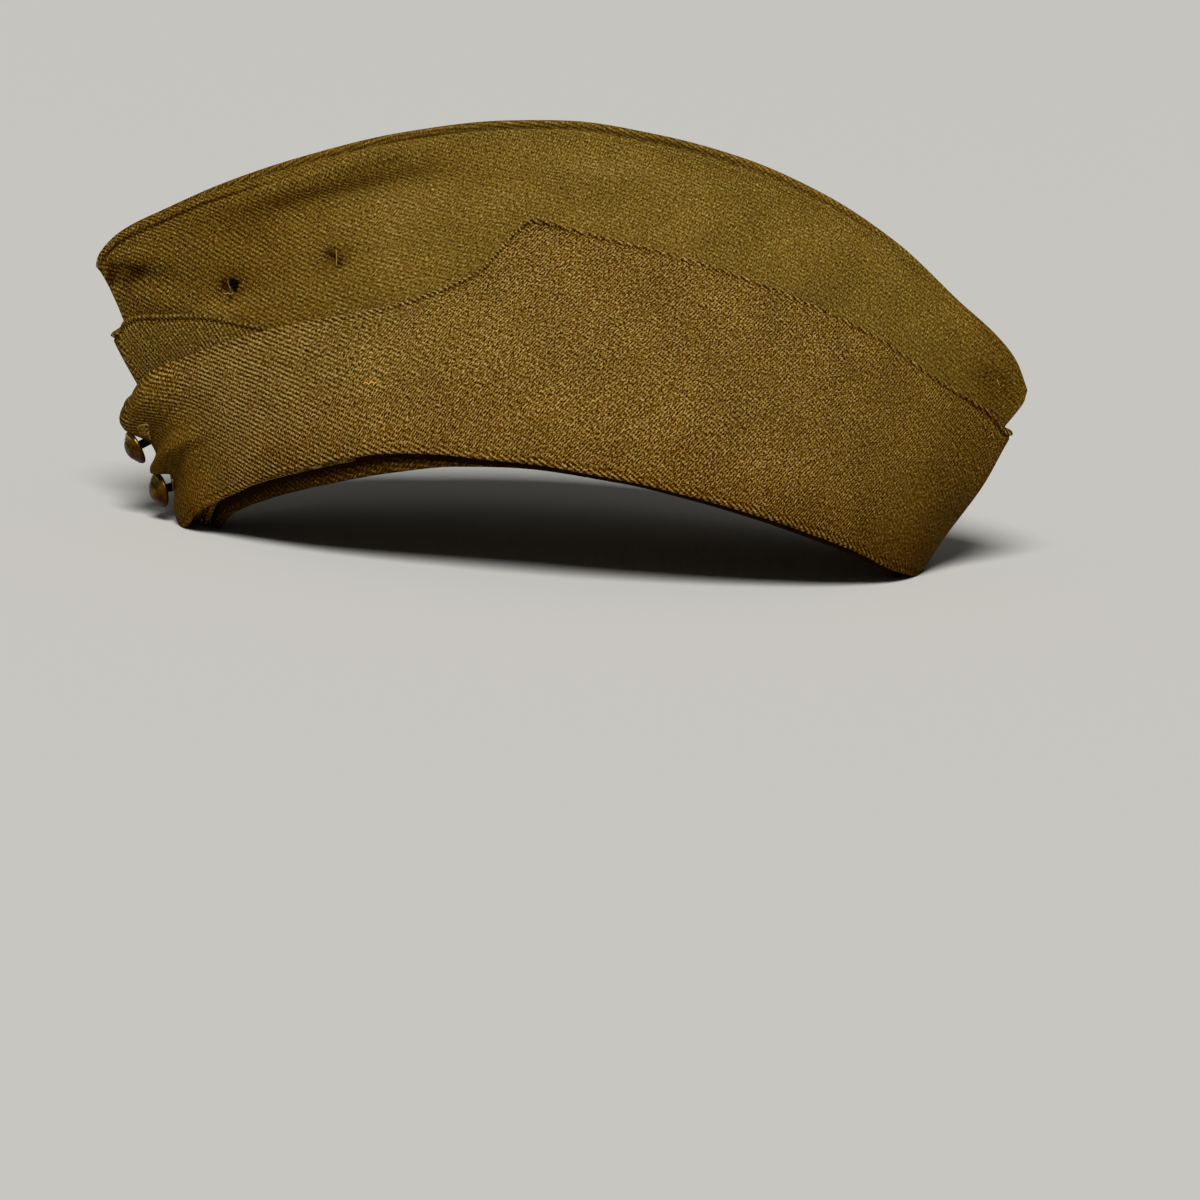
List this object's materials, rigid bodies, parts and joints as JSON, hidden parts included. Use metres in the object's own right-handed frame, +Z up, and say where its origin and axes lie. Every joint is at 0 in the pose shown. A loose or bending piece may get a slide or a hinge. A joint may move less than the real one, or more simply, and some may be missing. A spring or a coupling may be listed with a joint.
{
  "type": "field service cap",
  "caption": "Soft wool side cap with folded-in crown top, turned-up peak and a turned-up curtain buttoned at the centre front.",
  "frame": {"origin": "centre of the bounding box, on the surface that the cap rests on", "axes": "+X from front to back, -Y the wearer's left, +Z up"},
  "size_m": [0.2776, 0.1632, 0.1249],
  "materials": {
    "serge_body": "worn khaki-brown wool serge, twill weave, matt with a light nap",
    "serge_peak": "the same serge, a little darker, matt",
    "serge_curtain": "the same serge, two plies bagged out, matt and slightly felted towards the back",
    "bronze": "darkened bronze, worn bright on the raised parts"
  },
  "bodies": {
    "root": {"side_panel_left": "serge_body", "side_panel_right": "serge_body", "crown_gusset": "serge_body", "peak": "serge_peak", "curtain_left": "serge_curtain", "curtain_right": "serge_curtain", "button_upper": "bronze", "button_lower": "bronze"}
  },
  "joints": []
}
